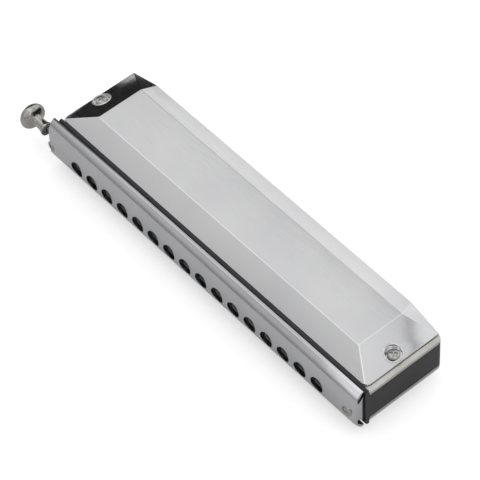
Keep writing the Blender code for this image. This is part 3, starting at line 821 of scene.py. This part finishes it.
@dataclass
class CarriedSolids:
    """CAD nodes that keep their shape and get a real finish."""

    def build(self) -> None:
        """Dress every node that no piece stands for."""
        comb, plate = COMB_ABS.build(), PLATE_METAL.build()
        steel, screw = SLIDE_STEEL.build(), SCREW_ZINC.build()
        for name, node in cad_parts.items():
            material = steel
            if name == "comb":
                material = comb
            elif name.endswith("reed_plate"):
                material = plate
            elif "screw" in name:
                material = screw
            for slot in node.material_slots:
                slot.material = material
            LOG.info("dressed %s as %s", name, material.name)


@dataclass
class Studio:
    """Pale floor, soft sky and the camera at the photograph's angle.

    climb_stops grade the sky by height and lean_stops from front to back. Both hold places from 0 to 1 with
    their greys, and sky_gain brings their product to full strength.
    """

    azimuth: float = math.radians(52.0)
    elevation: float = math.radians(50.89)
    roll: float = math.radians(-3.57)
    distance: float = 1.05102
    lens_mm: float = 208.31
    aim: Point = (0.0, -4.27 * MM, 14.33 * MM)
    shift_across: float = 0.62 * MM
    shift_up: float = 0.80 * MM
    floor_size: float = 6.0
    floor_gap: float = 0.05 * MM
    floor_shown: float = 0.86
    floor_glow: float = 0.46
    floor_mirrored: float = 0.64
    strip_x: float = -0.15
    strip_half: tuple[float, float] = (0.09, 0.17)
    strip_level: float = 0.72
    card_way: Point = (-0.9, 0.388, 0.193)
    card_edge: tuple[float, float] = (0.85, 0.94)
    card_level: float = 0.06
    sky_gain: float = 2.0
    climb_stops: tuple[tuple[float, float], ...] = (
        (0.0, 0.33), (0.33, 0.41), (0.475, 0.26), (0.55, 0.46), (0.63, 0.72), (0.72, 0.66), (1.0, 0.84))
    lean_stops: tuple[tuple[float, float], ...] = (
        (0.0, 0.36), (0.235, 0.43), (0.36, 0.46), (0.41, 0.72), (0.53, 0.72), (0.58, 0.50), (0.69, 0.52),
        (0.72, 0.50), (0.745, 0.22), (0.77, 0.60), (0.80, 0.64), (1.0, 0.60))

    def build(self) -> None:
        """Set up the camera, the floor and the sky, which lights everything softly."""
        self.camera()
        self.floor()
        self.sky()
        bpy.context.scene.view_settings.view_transform = "Standard"

    def camera(self) -> None:
        """Stand the camera where the photograph's perspective puts it."""
        az, el = self.azimuth, self.elevation
        back = Vector((math.sin(az) * math.cos(el), -math.cos(az) * math.cos(el), math.sin(el)))
        right = Vector((math.cos(az), math.sin(az), 0))
        up = back.cross(right)
        right, up = (math.cos(self.roll) * right + math.sin(self.roll) * up,
                     math.cos(self.roll) * up - math.sin(self.roll) * right)
        spot = Vector(self.aim) + back * self.distance + right * self.shift_across + up * self.shift_up
        camera = bpy.data.objects.new("Camera", bpy.data.cameras.new("Camera"))
        bpy.context.collection.objects.link(camera)
        turn = Matrix((right, up, back)).transposed().to_4x4()
        camera.matrix_world = Matrix.Translation(spot) @ turn
        camera.data.sensor_width = 36.0
        camera.data.lens = self.lens_mm
        bpy.context.scene.camera = camera

    def floor(self) -> None:
        """Lay the pale floor, close to white for the camera and mid grey where it lights or is mirrored."""
        bpy.ops.object.select_all(action="DESELECT")
        bpy.ops.mesh.primitive_plane_add(size=self.floor_size, location=(0, 0, -self.floor_gap))
        floor = bpy.context.active_object
        floor.name = "floor"
        material = bpy.data.materials.new("pale_floor")
        material.use_nodes = True
        tree = material.node_tree
        tree.nodes.remove(tree.nodes["Principled BSDF"])
        shown = put(tree, "ShaderNodeBsdfDiffuse", inputs={"Color": self.grey(self.floor_shown)})
        glow = put(tree, "ShaderNodeEmission", inputs={"Color": self.grey(1.0), "Strength": self.floor_glow})
        bright = put(tree, "ShaderNodeAddShader", inputs={0: shown.outputs[0], 1: glow.outputs[0]})
        mirrored = put(tree, "ShaderNodeBsdfDiffuse", inputs={"Color": self.grey(self.floor_mirrored)})
        ray = put(tree, "ShaderNodeLightPath")
        mix = put(tree, "ShaderNodeMixShader", inputs={
            0: ray.outputs["Is Camera Ray"], 1: mirrored.outputs[0], 2: bright.outputs[0]})
        tree.links.new(mix.outputs[0], tree.nodes["Material Output"].inputs["Surface"])
        floor.data.materials.append(material)

    @staticmethod
    def grey(level: float) -> tuple[float, float, float, float]:
        """Return a grey as a shader takes it."""
        return (level, level, level, 1.0)

    @staticmethod
    def levels(tree: bpy.types.NodeTree, value: bpy.types.NodeSocket,
               stops: Sequence[tuple[float, float]]) -> bpy.types.Node:
        """Turn a value to a grey level through a ramp.

        Args:
            tree: the tree that gets the ramp.
            value: what the ramp reads.
            stops: places from 0 to 1, each with its grey.

        Returns:
            The ramp's node.
        """
        ramp = put(tree, "ShaderNodeValToRGB", inputs={"Fac": value})
        line = ramp.color_ramp
        while len(line.elements) < len(stops):
            line.elements.new(0.5)
        for element, (at, level) in zip(line.elements, stops):
            element.position = at
            element.color = Studio.grey(level)
        return ramp

    def sky(self) -> None:
        """Shade the surround: bright overhead, dim at the horizon, with two strip lights and a dark card.

        The strips run over the folds of the cover, and the card stands beyond the knob.
        """
        world = bpy.data.worlds.new("studio")
        bpy.context.scene.world = world
        world.use_nodes = True
        tree = world.node_tree
        tree.nodes.clear()
        way = put(tree, "ShaderNodeTexCoord").outputs["Generated"]
        parts = put(tree, "ShaderNodeSeparateXYZ", inputs={"Vector": way})
        climb = put(tree, "ShaderNodeMapRange", inputs={
            "Value": parts.outputs["Z"], "From Min": -1.0, "From Max": 1.0})
        ramp = self.levels(tree, climb.outputs["Result"], self.climb_stops)
        across = put(tree, "ShaderNodeMapRange", inputs={
            "Value": parts.outputs["Y"], "From Min": -1.0, "From Max": 1.0})
        lean = self.levels(tree, across.outputs["Result"], self.lean_stops)
        offset = put(tree, "ShaderNodeMath", {"operation": "SUBTRACT"}, {
            0: parts.outputs["X"], 1: self.strip_x})
        apart = put(tree, "ShaderNodeMath", {"operation": "ABSOLUTE"}, {0: offset.outputs[0]})
        strip = put(tree, "ShaderNodeMapRange", {"interpolation_type": "SMOOTHSTEP"}, {
            "Value": apart.outputs[0], "From Min": self.strip_half[0], "From Max": self.strip_half[1],
            "To Min": self.strip_level, "To Max": 0.0})
        lights = put(tree, "ShaderNodeMath", {"operation": "MAXIMUM"}, {
            0: lean.outputs["Color"], 1: strip.outputs["Result"]})
        card = put(tree, "ShaderNodeVectorMath", {"operation": "DOT_PRODUCT"}, {
            0: way, 1: self.card_way})
        shadow = put(tree, "ShaderNodeMapRange", {"interpolation_type": "SMOOTHSTEP"}, {
            "Value": card.outputs["Value"], "From Min": self.card_edge[0], "From Max": self.card_edge[1],
            "To Min": self.sky_gain, "To Max": self.card_level})
        level = put(tree, "ShaderNodeMath", {"operation": "MULTIPLY"}, {
            0: lights.outputs[0], 1: shadow.outputs["Result"]})
        tone = put(tree, "ShaderNodeVectorMath", {"operation": "SCALE"}, {
            0: ramp.outputs["Color"], "Scale": level.outputs[0]})
        lit = put(tree, "ShaderNodeBackground", inputs={"Color": tone.outputs[0], "Strength": 1.0})
        white = put(tree, "ShaderNodeBackground", inputs={"Color": (1, 1, 1, 1), "Strength": 1.0})
        ray = put(tree, "ShaderNodeLightPath")
        mix = put(tree, "ShaderNodeMixShader", inputs={
            0: ray.outputs["Is Camera Ray"], 1: lit.outputs[0], 2: white.outputs[0]})
        out = put(tree, "ShaderNodeOutputWorld")
        tree.links.new(mix.outputs[0], out.inputs["Surface"])


def main() -> None:
    """Build every class in order."""
    logging.basicConfig(level=logging.INFO, format="%(message)s")
    Studio().build()
    CarriedSolids().build()
    cover_chrome = COVER_CHROME.build()
    for side in Side:
        Cover(side).build(cover_chrome)
    Mouthpiece().build(MOUTH_CHROME.build())
    Screws().build(SCREW_ZINC.build())
    Knob().build(TURNED_NICKEL.build())
    Spring().build(SLIDE_STEEL.build())


if __name__ == "__main__":
    main()
